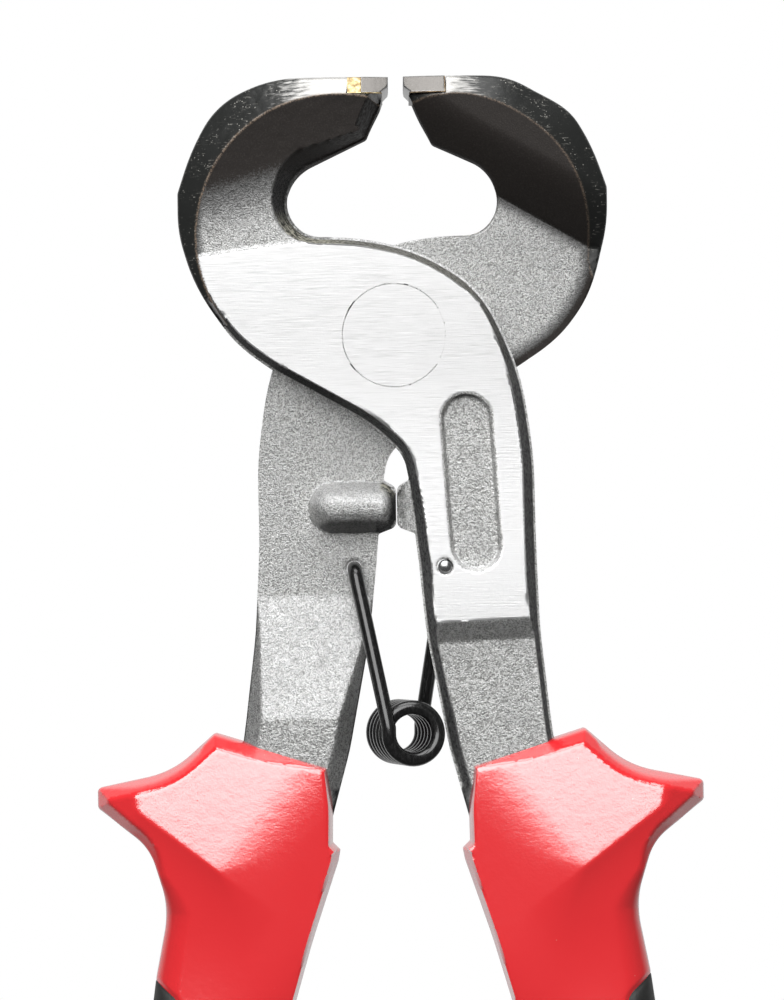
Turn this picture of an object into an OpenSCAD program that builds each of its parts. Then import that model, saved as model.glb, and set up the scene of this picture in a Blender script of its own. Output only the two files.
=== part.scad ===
// Carbide-tipped tile nippers, closed against their stop lugs.
// Millimetres. The origin is the centre of the pivot, +Z runs towards the jaws,
// +X to the tool's right, and the front of the tool faces -Y.
// Both levers are one forging: the rear one is the front one turned half a turn about Z.

/* [Jaws] */
// Height of the cutting edges above the pivot
tip_height = 37.7; // [36.5:0.1:39]
// Gap between the cutting edges when the stop lugs meet
tip_gap = 2.2; // [1.6:0.1:2.8]
// Depth of a jaw from front to back
jaw_depth = 16; // [14:0.5:20]
// Radius of the crest that runs around each jaw
crest_radius = 20.6; // [19:0.1:22]
// Slope of the ground band outside the crest, in degrees
band_slope = 35; // [25:1:45]
// Height of a carbide tip
carbide_height = 2.6; // [2:0.1:4]
// Length of the left carbide tip
left_carbide_length = 4.8; // [4:0.1:5.2]
// Length of the right carbide tip
right_carbide_length = 5.8; // [4:0.1:5.9]
// Length of the seat that both tips are brazed into
seat_length = 6.1; // [6:0.1:7]
// Thickness of the braze under a tip
braze_under = 0.15; // [0.1:0.05:0.3]

/* [Levers] */
// Thickness of each lever at the joint
lever_thickness = 6.5; // [5.5:0.1:8]
// Gap between the two levers' mating faces
mating_gap = 0.1; // [0.05:0.01:0.2]
// Thickness of the shanks and tangs
tang_thickness = 8; // [6:0.5:9]
// Height of the ground face above the forged skin
ground_relief = 0.25; // [0.1:0.05:0.5]
// Width of the recess in each ground face
recess_width = 7.4; // [5:0.1:8.4]
// Depth of that recess
recess_depth = 1.1; // [0.5:0.1:2]
// Width of a stop lug across the shank
lug_width = 7.3; // [5:0.1:9]
// Width of a stop lug at its top
lug_top_width = 3.6; // [2:0.1:4.5]
// How far a stop lug stands out of the mating face
lug_height = 5; // [3:0.1:6]
// Gap between the stop lugs' ends when the jaws are closed
lug_gap = 0.3; // [0.1:0.05:0.6]

/* [Pivot] */
// Diameter of the rivet's shank
rivet_diameter = 8; // [6:0.1:9]
// Diameter of the rivet's countersunk heads
head_diameter = 15; // [12:0.1:17]
// Depth of the countersink
head_depth = 2.4; // [1.5:0.1:3]
// Radial running clearance of the rivet in the rear lever
rivet_play = 0.05; // [0.02:0.01:0.1]

/* [Spring] */
// Diameter of the spring wire
wire_diameter = 2; // [1.6:0.1:2]
// Diameter of the coil, measured to the middle of the wire
coil_diameter = 7; // [6:0.1:7.4]
// Number of turns in the coil, a whole number and a half
coil_turns = 5.5; // [4.5:1:5.5]
// Gap between neighbouring turns
turn_gap = 0.05; // [0.02:0.01:0.08]
// How far the coil is turned about the tool's long axis, in degrees
coil_tilt = 16; // [0:1:18]
// Diameter of the holes that take the spring's ends
spring_hole_diameter = 2.3; // [2.2:0.05:2.8]

/* [Grips] */
// Depth of a grip from front to back at its widest
grip_depth = 19; // [16:0.5:22]
// Distance of a thumb guard's tip from the tool's middle
guard_reach = 44.4; // [43:0.1:48]
// Play between a tang and its grip
tang_play = 0.05; // [0.02:0.01:0.2]
// Play between a grip's hard core and its soft pad
pad_play = 0.02; // [0.01:0.01:0.1]

/* [Hidden] */
$fn = 96;
far = 80; // longer than any cut has to reach
half_jaw = jaw_depth / 2;
half_tang = tang_thickness / 2;
mating_face = mating_gap / 2;
ground_end = -41.5; // lower end of the ground face
shank_front_start = -44.7; // where the shank reaches its full setback at the front
mating_end = -37.7; // lower end of the mating face
shank_back_start = -56; // where the shank reaches its full thickness at the back
ground_top = 13.6; // upper end of the ground face
jaw_base = 13; // the full-depth jaw starts here
jaw_centre = [-8.2, 14.4]; // centre of the crest's circle
ramp_start = 11; // the crest rises from the ground face from here
ramp_end = 26;
dish_radius = 11; // flat floor inside the crest, at the front
flare_point = [-15.2, 21]; // the flare at the back starts on a line through this point
flare_slope = 30; // slope of that line, in degrees
flare_run = 9; // the flare reaches the crest this far from the line
tang_end = -150;
lug_z = -25;
lug_length = 13;
recess_top = [10.4, -12.4];
recess_bottom = [11.5, -30.9];
spring_hole = [6.7, -33.8];
coil_centre = [0.7, 0, -58.2];
coil_length = coil_turns * (wire_diameter + turn_gap);
wire_sides = 12;
steps_per_turn = 24;
leg_standoff = 1.7; // the wire's bend, from the mating face
corner_step = 12; // degrees of arc per straight piece of an outline
station_skin = 0.5; // thickness of the slices that the grips are hulled from
station_corner = 3.2; // corner radius of a grip's cross-section

// Lever outline, front view: [x, z, corner radius], from the tip down the outside of the jaw
lever_outline = [
    [-tip_gap / 2, tip_height, 0],
    [-16.5, tip_height - 0.2, 5],
    [-23.5, tip_height - 3, 6],
    [-28.4, tip_height - 8.4, 5],
    [-31.4, 21.5, 2],
    [-31.2, 15.5, 10],
    [-28.9, 7.6, 12],
    [-23.4, -0.6, 10],
    [-17.8, -4.7, 6],
    [-3.5, -12.8, 8],
    [1.2, -17.4, 6],
    [2.6, -28, 30],
    [4.2, -44, 40],
    [7.3, -60.7, 40],
    [10.6, -72.7, 30],
    [27, -124, 40],
    [29, tang_end, 2.4],
    [34, tang_end, 2.4],
    [33, -124, 40],
    [25.2, -72, 30],
    [22.4, -58.7, 30],
    [20.6, -43, 40],
    [20, -18, 30],
    [18.3, -4.8, 18],
    [12.9, 6.8, 16],
    [4, 12.3, 20],
    [-5, 14.5, 20],
    [-13, 14.9, 3],
    [-15.6, 19, 4],
    [-14, 24, 5],
    [-3.7, 29.1, 1],
    [-2.05, 34.2, 0],
    [-tip_gap / 2 + 0.1, tip_height - 1.2, 0]
];

// Cross-sections of a grip: [inner end, outer end, share of half the grip's depth]
grip_stations = [
    [[10.8, -62.8], [27.0, -58.6], 0.88],
    [[10.3, -66], [31, -63], 1],
    [[10, -72], [34, -71], 1],
    [[9.2, -76], [35, -78], 1],
    [[11.4, -83], [34.6, -84], 0.98],
    [[13.6, -89.6], [35.4, -91], 0.96],
    [[16, -97], [36.3, -98], 0.96],
    [[19.5, -110], [38.4, -109], 0.98],
    [[22, -120], [40.3, -120], 1],
    [[24.3, -137], [41.8, -136], 1],
    [[24.8, -152], [41.8, -152], 0.98],
    [[24.6, -163], [40, -164], 0.9],
    [[26.5, -169.5], [37.5, -170], 0.7],
    [[29, -171.8], [34.8, -172], 0.45]
];

// Cross-sections of the thumb guard, from the grip out to the tip
guard_stations = [
    [[28, -59.6], [34.4, -82], 0.95],
    [[32, -62.6], [36, -77], 0.9],
    [[guard_reach - 8, -64.4], [guard_reach - 5.8, -72.8], 0.72],
    [[guard_reach - 3, -65.3], [guard_reach - 2.3, -69.4], 0.5],
    [[guard_reach - 0.4, -66.4], [guard_reach, -67.8], 0.36]
];

// The soft pad fills the outer side of the grip beyond this line
pad_outline = [
    [60, -93.4, 0],
    [36.4, -93.8, 1],
    [32.2, -96.4, 3],
    [31.4, -104, 8],
    [34.4, -124, 30],
    [36, -148, 12],
    [34.5, -158, 3],
    [38, -162, 3],
    [60, -163, 0]
];

function unit(v) = v / norm(v);

// Arc that rounds the corner at b, on the way from a to c
function corner_arc(a, b, c, radius) =
    radius == 0 ? [b] :
    let (
        to_a = unit(a - b),
        to_c = unit(c - b),
        half_angle = acos(to_a * to_c) / 2,
        room = 0.49 * min(norm(a - b), norm(c - b)),
        reach = min(radius / tan(half_angle), room),
        r = reach * tan(half_angle),
        centre = b + unit(to_a + to_c) * r / sin(half_angle),
        first = b + to_a * reach - centre,
        last = b + to_c * reach - centre,
        start = atan2(first.y, first.x),
        raw_turn = atan2(last.y, last.x) - start,
        turn = raw_turn > 180 ? raw_turn - 360 : raw_turn < -180 ? raw_turn + 360 : raw_turn,
        steps = ceil(abs(turn) / corner_step)
    )
    [for (i = [0:steps]) centre + r * [cos(start + turn * i / steps), sin(start + turn * i / steps)]];

// Closed outline with each corner rounded by the radius in its third number
function rounded(corners) =
    let (n = len(corners), flat = [for (c = corners) [c.x, c.y]])
    [for (i = [0:n - 1]) each corner_arc(flat[(i + n - 1) % n], flat[i], flat[(i + 1) % n], corners[i].z)];

// Point of a quadratic curve from a to c, pulled towards b
function curve(a, b, c, t) = (1 - t) * (1 - t) * a + 2 * t * (1 - t) * b + t * t * c;

// Front-view shape, as a slab between two depths
module slab(front, back) {
    translate([0, back, 0])
        rotate([90, 0, 0])
            linear_extrude(back - front)
                children();
}

// Side-view shape in (y, z), drawn right across the tool
module across() {
    rotate([90, 0, 90])
        linear_extrude(2 * far, center = true)
            children();
}

// Solid of revolution about a front-to-back axis; its profile is (radius, depth towards the front)
module turned(centre, back) {
    translate([centre.x, back, centre.y])
        rotate([90, 0, 0])
            rotate_extrude()
                children();
}

// Plate, shank and tang of a lever, before any holes
module lever_side() {
    across()
        polygon([
            [-mating_face, jaw_base + 3],
            [-lever_thickness + ground_relief, jaw_base + 3],
            [-lever_thickness + ground_relief, ground_top],
            [-lever_thickness, ground_top],
            [-lever_thickness, ground_end],
            [-half_tang, shank_front_start],
            [-half_tang, tang_end - 1],
            [half_tang, tang_end - 1],
            [half_tang, shank_back_start],
            [-mating_face, mating_end]
        ]);
}

// Everything outside the crest slopes away on both sides of the jaw
module crest_body() {
    reach = 8;
    drop = reach * tan(band_slope);
    turned(jaw_centre, 0)
        polygon([
            [0, -half_jaw],
            [crest_radius, -half_jaw],
            [crest_radius + reach, drop - half_jaw],
            [crest_radius + reach, half_jaw - drop],
            [crest_radius, half_jaw],
            [0, half_jaw]
        ]);
}

// Full-depth jaw: it flares out of the mating face behind a slanting line
module jaw_block() {
    intersection() {
        crest_body();
        translate([flare_point.x, 0, flare_point.y])
            rotate([0, -90 - flare_slope, 0])
                linear_extrude(2 * far, center = true)
                    polygon([
                        [-far, -half_jaw - 1],
                        [far, -half_jaw - 1],
                        [far, half_jaw + 1],
                        [flare_run * (half_jaw + 1) / half_jaw, half_jaw + 1],
                        [0, -mating_face],
                        [-far, -mating_face]
                    ]);
        across()
            polygon([
                [-lever_thickness, jaw_base],
                [-lever_thickness, ramp_start + 2],
                [-half_jaw, ramp_end],
                [-half_jaw, far],
                [far, far],
                [far, jaw_base]
            ]);
    }
}

// Shallow dish inside the crest, at the front
module front_dish() {
    rise = half_jaw - lever_thickness + ground_relief;
    turned(jaw_centre, -lever_thickness + ground_relief)
        polygon([[0, 0], [dish_radius, 0], [crest_radius, rise], [crest_radius, far], [0, far]]);
}

// Pocket that a tip is brazed into, from the cutting edge to the given length
module tip_seat(front, back, length, floor_height) {
    slab(front, back)
        polygon([
            [1, floor_height],
            [-tip_gap / 2 - length, floor_height],
            [-tip_gap / 2 - length, tip_height + 2],
            [1, tip_height + 2]
        ]);
}

module lever_blank() {
    intersection() {
        slab(-far, far) polygon(rounded(lever_outline));
        union() {
            lever_side();
            difference() {
                jaw_block();
                front_dish();
            }
        }
    }
}

// Stop lug on the mating face: straight bar with a rounded outer end and sloping sides
module stop_lug() {
    start = lug_gap / 2;
    bar = lug_length - lug_width / 2;
    translate([start, -mating_face - 1, lug_z]) {
        rotate([90, 0, 90])
            linear_extrude(bar - start)
                polygon([
                    [0, -lug_width / 2],
                    [1, -lug_width / 2],
                    [lug_height + 1, -lug_top_width / 2],
                    [lug_height + 1, lug_top_width / 2],
                    [1, lug_width / 2],
                    [0, lug_width / 2]
                ]);
        translate([bar - start, 1, 0])
            rotate([-90, 0, 0])
                cylinder(h = lug_height, d1 = lug_width, d2 = lug_top_width);
    }
}

// Long round-ended recess in the ground face
module recess() {
    run = recess_bottom - recess_top;
    half_width = recess_width / 2;
    overall = norm(run) / 2 + half_width;
    middle = (recess_top + recess_bottom) / 2;
    slab(-lever_thickness - 1, -lever_thickness + recess_depth)
        translate(middle)
            rotate(atan2(run.y, run.x))
                polygon(rounded([
                    [-overall, -half_width, half_width],
                    [overall, -half_width, half_width],
                    [overall, half_width, half_width],
                    [-overall, half_width, half_width]
                ]));
}

// Rivet with its heads, grown by the given play; bores use it as their cutter
module rivet_body(play, extra) {
    side = lever_thickness + extra;
    flank = (head_diameter - rivet_diameter) / 2 / head_depth;
    turned([0, 0], 0)
        polygon([
            [0, -side],
            [head_diameter / 2 + play + extra * flank, -side],
            [rivet_diameter / 2 + play, head_depth - lever_thickness],
            [rivet_diameter / 2 + play, lever_thickness - head_depth],
            [head_diameter / 2 + play + extra * flank, side],
            [0, side]
        ]);
}

module spring_bore() {
    translate([spring_hole.x, -far / 2, spring_hole.y])
        rotate([-90, 0, 0])
            cylinder(h = far, d = spring_hole_diameter);
}

module lever(play) {
    difference() {
        union() {
            lever_blank();
            stop_lug();
        }
        tip_seat(-far, far, seat_length, tip_height - carbide_height - braze_under);
        recess();
        rivet_body(play, 1);
        spring_bore();
    }
}

// A tip or its braze: the part of the jaw's shape inside a seat
module seated(length, floor_height) {
    intersection() {
        slab(-far, far) polygon(rounded(lever_outline));
        crest_body();
        tip_seat(-half_jaw - 1, half_jaw + 1, length, floor_height);
    }
}

module carbide_tip(length) {
    seated(length, tip_height - carbide_height);
}

module braze_seam(tip_length) {
    difference() {
        seated(seat_length, tip_height - carbide_height - braze_under);
        tip_seat(-far, far, tip_length, tip_height - carbide_height);
    }
}

// Slice of a grip: a rounded rectangle between two points of the front view
module station(s) {
    run = s[1] - s[0];
    half_depth = grip_depth / 2 * s[2];
    corner = min(station_corner, norm(run) / 2 - 0.1, half_depth - 0.1);
    translate([s[0].x, 0, s[0].y])
        rotate([0, -atan2(run.y, run.x), 0])
            for (along = [corner, norm(run) - corner], depth = [-1, 1])
                translate([along, depth * (half_depth - corner), 0])
                    cylinder(h = station_skin, r = corner, $fn = 24);
}

module station_chain(stations) {
    for (i = [0:len(stations) - 2])
        hull() {
            station(stations[i]);
            station(stations[i + 1]);
        }
}

module grip_body() {
    station_chain(grip_stations);
    station_chain(guard_stations);
}

module pad_region(play) {
    slab(-far, far)
        offset(delta = play)
            polygon(rounded(pad_outline));
}

module tang_pocket() {
    slab(-half_tang - tang_play, half_tang + tang_play)
        offset(delta = tang_play)
            polygon(rounded(lever_outline));
}

module grip_core() {
    difference() {
        grip_body();
        pad_region(pad_play);
        tang_pocket();
    }
}

module grip_pad() {
    intersection() {
        grip_body();
        pad_region(0);
    }
}

// Middle line of the coil: down the left of the front ring first, then round to the right at the back
function coil_point(turn) =
    let (
        angle = 180 + 360 * turn,
        x = coil_diameter / 2 * cos(angle),
        y = coil_length * (turn / coil_turns - 0.5)
    )
    coil_centre + [
        x * cos(coil_tilt) - y * sin(coil_tilt),
        x * sin(coil_tilt) + y * cos(coil_tilt),
        coil_diameter / 2 * sin(angle)
    ];

// Leg from the end of the coil, up past the mating face and into its hole; side is -1 at the front
function leg_path(foot, side) =
    let (
        corner = [side * spring_hole.x, side * leg_standoff, spring_hole.y],
        down = unit(foot - corner),
        bend = 1.8,
        into = [0, -side, 0]
    )
    [
        foot + [0, 0, 0],
        corner + down * bend,
        for (t = [0.25, 0.5, 0.75]) curve(corner + down * bend, corner, corner + into * bend, t),
        corner + into * bend,
        corner + into * (leg_standoff + lever_thickness - 0.1)
    ];

function reversed(list) = [for (i = [len(list) - 1:-1:0]) list[i]];

module wire(path, diameter) {
    last = len(path) - 1;
    directions = [for (i = [0:last]) unit(path[min(i + 1, last)] - path[max(i - 1, 0)])];
    // Each section's first arm is the one before it, squared up to the new direction
    arms = [
        for (
            i = 0, arm = unit(cross(directions[0], [1, 0, 0]));
            i <= last;
            i = i + 1, arm = i > last ? arm : unit(arm - (arm * directions[i]) * directions[i])
        ) arm
    ];
    points = [
        for (i = [0:last], k = [0:wire_sides - 1])
            path[i] + diameter / 2 * (
                cos(360 * k / wire_sides) * arms[i]
                + sin(360 * k / wire_sides) * cross(directions[i], arms[i])
            )
    ];
    sides = [
        for (i = [0:last - 1], k = [0:wire_sides - 1])
            let (next = (k + 1) % wire_sides, row = i * wire_sides)
            [row + k, row + wire_sides + k, row + wire_sides + next, row + next]
    ];
    first_cap = [for (k = [0:wire_sides - 1]) k];
    last_cap = [for (k = [wire_sides - 1:-1:0]) last * wire_sides + k];
    polyhedron(points, concat([first_cap], sides, [last_cap]), convexity = 12);
}

module front_lever() {
    color("silver")
        lever(0);
}

module rear_lever() {
    color("darkgray")
        rotate([0, 0, 180])
            lever(rivet_play);
}

module pivot_rivet() {
    color("gainsboro")
        rivet_body(0, 0);
}

module left_carbide_tip() {
    color("dimgray")
        carbide_tip(left_carbide_length);
}

module right_carbide_tip() {
    color("dimgray")
        rotate([0, 0, 180])
            carbide_tip(right_carbide_length);
}

module left_braze_seam() {
    color("goldenrod")
        braze_seam(left_carbide_length);
}

module right_braze_seam() {
    color("goldenrod")
        rotate([0, 0, 180])
            braze_seam(right_carbide_length);
}

module return_spring() {
    coil_steps = coil_turns * steps_per_turn;
    coil = [for (i = [0:coil_steps]) coil_point(i / steps_per_turn)];
    color("#1c1c1c")
        wire(
            concat(
                reversed(leg_path(coil[0] + [0, 0, 1], -1)),
                coil,
                leg_path(coil[coil_steps] + [0, 0, 1], 1)
            ),
            wire_diameter
        );
}

module left_grip_core() {
    color("crimson")
        rotate([0, 0, 180])
            grip_core();
}

module right_grip_core() {
    color("crimson")
        grip_core();
}

module left_grip_pad() {
    color("#2b2b2a")
        rotate([0, 0, 180])
            grip_pad();
}

module right_grip_pad() {
    color("#2b2b2a")
        grip_pad();
}

front_lever();
rear_lever();
pivot_rivet();
left_carbide_tip();
right_carbide_tip();
left_braze_seam();
right_braze_seam();
return_spring();
left_grip_core();
right_grip_core();
left_grip_pad();
right_grip_pad();
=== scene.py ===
"""Tile nippers with carbide tips, a coil return spring and red two-part grips.

Shapes are worked out in millimetres in the front view: x to the tool's right and z towards the
jaws. A forging or a grip is a sheet solid: one outline with a height above it at the front and
another at the back. Both levers are the same forging, and the rear one is turned half a turn.
"""

import math

import bpy
import numpy as np
from mathutils import Matrix, Vector
from mathutils.geometry import delaunay_2d_cdt
from mathutils.kdtree import KDTree


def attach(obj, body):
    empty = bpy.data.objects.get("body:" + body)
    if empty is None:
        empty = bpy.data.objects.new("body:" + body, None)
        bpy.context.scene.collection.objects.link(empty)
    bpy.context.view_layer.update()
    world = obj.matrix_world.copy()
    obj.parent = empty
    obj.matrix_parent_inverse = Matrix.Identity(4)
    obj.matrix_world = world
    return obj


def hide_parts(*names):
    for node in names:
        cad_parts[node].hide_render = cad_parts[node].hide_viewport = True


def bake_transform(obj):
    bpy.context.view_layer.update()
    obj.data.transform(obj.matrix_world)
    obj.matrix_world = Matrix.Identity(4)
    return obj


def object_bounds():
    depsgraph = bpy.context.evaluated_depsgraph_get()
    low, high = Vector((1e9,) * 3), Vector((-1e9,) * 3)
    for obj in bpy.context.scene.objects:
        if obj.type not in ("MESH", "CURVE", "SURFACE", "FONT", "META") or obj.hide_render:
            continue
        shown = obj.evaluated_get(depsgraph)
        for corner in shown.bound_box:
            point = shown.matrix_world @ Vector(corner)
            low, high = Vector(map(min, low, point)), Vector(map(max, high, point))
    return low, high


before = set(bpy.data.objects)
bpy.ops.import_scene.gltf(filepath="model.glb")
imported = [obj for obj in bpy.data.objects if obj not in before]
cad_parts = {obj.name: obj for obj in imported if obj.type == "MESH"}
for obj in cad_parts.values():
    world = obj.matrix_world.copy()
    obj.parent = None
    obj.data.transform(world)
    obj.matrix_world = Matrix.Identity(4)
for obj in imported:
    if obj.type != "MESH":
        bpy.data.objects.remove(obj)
cad_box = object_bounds()

MM = 0.001
HALF_TURN = Matrix.Rotation(math.pi, 4, "Z")

# ---- forging dimensions
TIP_HEIGHT = 38.0
TIP_GAP = 2.2
JAW_CENTRE = (-8.2, 14.7)
CREST_RADIUS = 20.6
CREST_HEIGHT = 8.0
BAND_SLOPE = math.tan(math.radians(35))
GROUND_LEVEL = 6.505
GROUND_END = -42.2
GROUND_RAMP = 2.9
SKIN_LEVEL = 6.25
SHANK_LEVEL = 4.0
MATING_LEVEL = -0.05
EDGE_LEVEL = 0.3
LAND = 0.3
FLARE_POINT = (-15.2, 21.0)
FLARE_NORMAL = (-0.5, 0.866)
FLARE_RUN = 8.0
SEAT_LENGTH = 6.1
SEAT_FLOOR = 35.35
RIVET_RADIUS = 4.05
HEAD_RADIUS = 7.46
HEAD_DEPTH = 2.4
HEAD_FLARE = 3.5
RIM_RADIUS = 7.5
RECESS = ((10.4, -12.4), (11.6, -30.9))
RECESS_HALF_WIDTH = 3.8
RECESS_DEPTH = 1.1
SPRING_HOLE = (6.7, -33.8)
SPRING_HOLE_RADIUS = 1.15
LUG_Z = -25.0
LUG_START = 0.07
LUG_AXIS = (2.2, 9.35)
LUG_HALF_WIDTH = 3.65
LUG_HEIGHT = 5.0
GRIP_TOP = -66.0

# Outline of a lever in front view, as corners of x, z and radius, from the tip anticlockwise
JAW_OUTSIDE = [
    (-TIP_GAP / 2 - SEAT_LENGTH, TIP_HEIGHT, 0),
    (-17.9, 38.0, 40),
    (-25.7, 34.3, 40),
    (-29.5, 27.3, 40),
    (-31.5, 21.4, 1.5),
    (-31.5, 15.5, 40),
    (-29.0, 7.4, 40),
    (-23.4, -0.6, 30),
    (-17.8, -4.7, 30),
    (-3.5, -12.8, 30),
    (1.2, -17.4, 6),
]
LUG_END = [
    (1.9, -21.0, 0.5),
    (LUG_START, -22.0, 1.2),
    (LUG_START, -27.9, 1.2),
    (2.7, -28.9, 0.5),
]
SHANK = [
    (4.2, -44, 40),
    (7.3, -60.7, 40),
    (10.6, -72.7, 30),
    (27, -124, 40),
    (29, -150, 2.4),
    (34, -150, 2.4),
    (33, -124, 40),
    (25.2, -72, 30),
    (22.5, -58.7, 60),
    (20.9, -43, 60),
    (20.4, -18, 60),
    (18.6, -4.8, 40),
    (12.9, 7.2, 40),
    (4, 12.8, 40),
    (-5, 14.9, 40),
    (-13.2, 15.1, 5),
    (-16.0, 19.3, 5),
    (-14.3, 24.6, 8),
    (-3.7, 29.5, 0.8),
    (-2.05, 34.4, 0),
    (-1.73, SEAT_FLOOR, 0),
    (-TIP_GAP / 2 - SEAT_LENGTH, SEAT_FLOOR, 0),
]

# Where each tip bites and where its heel is; the tips meet a little to the right of the pivot
LEFT_TIP = (-0.35, -4.3)
RIGHT_TIP = (-1.85, -7.9)
LEFT_SEAT_END = -6.35
RIGHT_SEAT_END = -8.05

# Width of the drafted wall at places z, where the lever faces its twin and on its outer side
INNER_WALL = [
    (-72, 2.6), (-60, 2.6), (-46, 2.0), (-41, 1.4), (-31, 1.7), (-24, 1.6),
    (-18, 1.3), (-8, 1.1), (0, 1.0), (8, 1.2), (12, 0.9),
]
OUTER_WALL = [(-50, 1.6), (-42, 1.6), (-36, 1.85), (-6, 1.75), (4, 1.3)]
NOSE_WALL = 1.7

# Places z and x on the middle line of a lever, between its inner and outer edges
LEVER_MIDDLE = [(-150, 31.5), (-72, 17.9), (-60, 14.9), (-43, 12.4), (-15, 10.5), (-5, 0), (5, -5)]

# Soft pushes that set each lever apart from the shared forging: place, reach and step
FRONT_PUSHES = [
    ((-7.2, 37.5), 4.0, (0.9, 0)),
    ((-1.5, 34.8), 3.0, (0.4, 0)),
    ((20.5, -30), 11.0, (-0.15, 0)),
    (SPRING_HOLE, 2.5, (0.35, -0.1)),
]
REAR_PUSHES = [
    ((-7.2, 37.5), 4.0, (-0.9, 0)),
    ((-1.5, 35.0), 2.5, (-0.5, 0)),
    ((-3.7, 28.8), 5.0, (-2.3, -1.1)),
    ((-27, 4), 8.0, (-0.6, -0.5)),
    ((20.5, -30), 8.0, (-0.3, 0)),
    ((25, -60), 14.0, (0.4, 0)),
    ((-23, 36.5), 4.5, (0.6, -0.5)),
    (SPRING_HOLE, 2.5, (-0.35, -0.1)),
]

# ---- grip dimensions
# Outline of a grip's red core, from the pad's upper end round the guard to the pad's lower end
CORE_SIDE = [
    (36.3, -93.6, 0.3),
    (34.3, -83.4, 14),
    (37.0, -74.6, 8),
    (44.5, -68.6, 0.9),
    (44.5, -65.7, 0.7),
    (33.6, -63.5, 14),
    (27.2, -57.8, 0.6),
    (10.6, -63.0, 0.5),
    (10.0, -69, 20),
    (10.1, -74.2, 0.3),
    (9.0, -75.3, 0.3),
    (9.3, -76.9, 0.6),
    (13.2, -88.4, 60),
    (19.5, -110, 80),
    (24.4, -137, 40),
    (24.8, -154, 30),
    (25.0, -165, 8),
    (29.4, -172, 4),
    (35.2, -172, 4),
    (40.2, -163.4, 1),
]
PAD_SIDE = [
    (40.2, -163.4, 1),
    (41.8, -152, 30),
    (41.8, -136, 40),
    (38.4, -109, 60),
    (36.9, -98, 20),
    (36.3, -93.6, 0.3),
]
PAD_CURVE = [
    (32.7, -96.6, 3),
    (31.6, -106, 20),
    (34.4, -124, 30),
    (36, -148, 12),
    (34.9, -159, 3),
]
FACET_POINT = (23.9, -79.8)
FACET_LEVEL = 9.4
FACET_TILT = 0.12


# ---- outlines
def rounded(corners, arc_step=3.0):
    """Closed outline through the corners, each rounded by its own radius."""
    points = []
    flat = [Vector(c[:2]) for c in corners]
    for i, corner in enumerate(corners):
        here = flat[i]
        to_last = flat[i - 1] - here
        to_next = flat[(i + 1) % len(flat)] - here
        if corner[2] == 0:
            points.append(tuple(here))
            continue
        room = 0.49 * min(to_last.length, to_next.length)
        to_last.normalize()
        to_next.normalize()
        half = math.acos(max(-1, min(1, to_last.dot(to_next)))) / 2
        reach = min(corner[2] / math.tan(half), room)
        radius = reach * math.tan(half)
        centre = here + (to_last + to_next).normalized() * radius / math.sin(half)
        first = here + to_last * reach - centre
        last = here + to_next * reach - centre
        start = math.atan2(first.y, first.x)
        turn = (math.atan2(last.y, last.x) - start + math.pi) % (2 * math.pi) - math.pi
        steps = max(1, math.ceil(abs(math.degrees(turn)) / arc_step))
        for k in range(steps + 1):
            angle = start + turn * k / steps
            points.append((centre.x + radius * math.cos(angle), centre.y + radius * math.sin(angle)))
    return np.array(points)


def circle(centre, radius, spacing):
    """Closed circle of points."""
    count = max(12, round(2 * math.pi * radius / spacing))
    angles = np.arange(count) * 2 * math.pi / count
    return np.stack([centre[0] + radius * np.cos(angles), centre[1] + radius * np.sin(angles)], 1)


def subdivided(points, spacing, closed=True):
    """The same line with extra points, so that no step is longer than spacing gives at that place."""
    result = []
    ends = np.roll(points, -1, 0) if closed else points[1:]
    for start, end in zip(points, ends):
        length = np.linalg.norm(end - start)
        count = max(1, math.ceil(length / spacing((start + end) / 2)))
        for k in range(count):
            result.append(start + (end - start) * k / count)
    if not closed:
        result.append(points[-1])
    return np.array(result)


def inside(points, loops):
    """True for each point that an odd number of loops surrounds."""
    result = np.zeros(len(points), bool)
    for loop in loops:
        starts, ends = loop, np.roll(loop, -1, 0)
        for (x0, z0), (x1, z1) in zip(starts, ends):
            if z0 == z1:
                continue
            crosses = (points[:, 1] < z0) != (points[:, 1] < z1)
            where = x0 + (points[:, 1] - z0) * (x1 - x0) / (z1 - z0)
            result ^= crosses & (points[:, 0] < where)
    return result


def nearest_on(loop, points):
    """For each point, its distance from a closed loop (positive inside) and the nearest point on it."""
    starts = loop
    steps = np.roll(loop, -1, 0) - loop
    lengths = np.maximum((steps ** 2).sum(1), 1e-12)
    best = np.empty((len(points), 2))
    for low in range(0, len(points), 2000):
        part = points[low:low + 2000, None, :]
        t = np.clip(((part - starts) * steps).sum(2) / lengths, 0, 1)
        feet = starts + t[..., None] * steps
        gaps = ((part - feet) ** 2).sum(2)
        pick = gaps.argmin(1)
        best[low:low + 2000] = feet[np.arange(len(pick)), pick]
    distance = np.linalg.norm(points - best, axis=1)
    return np.where(inside(points, [loop]), distance, -distance), best


def rails(loop, offsets):
    """Lines of points that run inside a loop, at the given distances from it."""
    before, after = np.roll(loop, 1, 0), np.roll(loop, -1, 0)
    along = after - before
    along /= np.maximum(np.linalg.norm(along, axis=1), 1e-9)[:, None]
    inward = np.stack([-along[:, 1], along[:, 0]], 1)
    rows = []
    for offset in offsets:
        row = loop + inward * offset
        distance, _ = nearest_on(loop, row)
        rows.append(row[distance > 0.96 * offset])
    return np.concatenate(rows)


def hexagonal(low, high, spacing):
    """Rows of points that fill a rectangle."""
    rise = spacing * math.sqrt(3) / 2
    rows = []
    for k, z in enumerate(np.arange(low[1], high[1], rise)):
        xs = np.arange(low[0] + (k % 2) * spacing / 2, high[0], spacing)
        rows.append(np.stack([xs, np.full(len(xs), z)], 1))
    return np.concatenate(rows)


# ---- number fields
def ramp(low, high, value):
    """0 below low, 1 above high and smooth in between; low may be the greater."""
    t = np.clip((value - low) / (high - low), 0, 1)
    return t * t * (3 - 2 * t)


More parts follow.
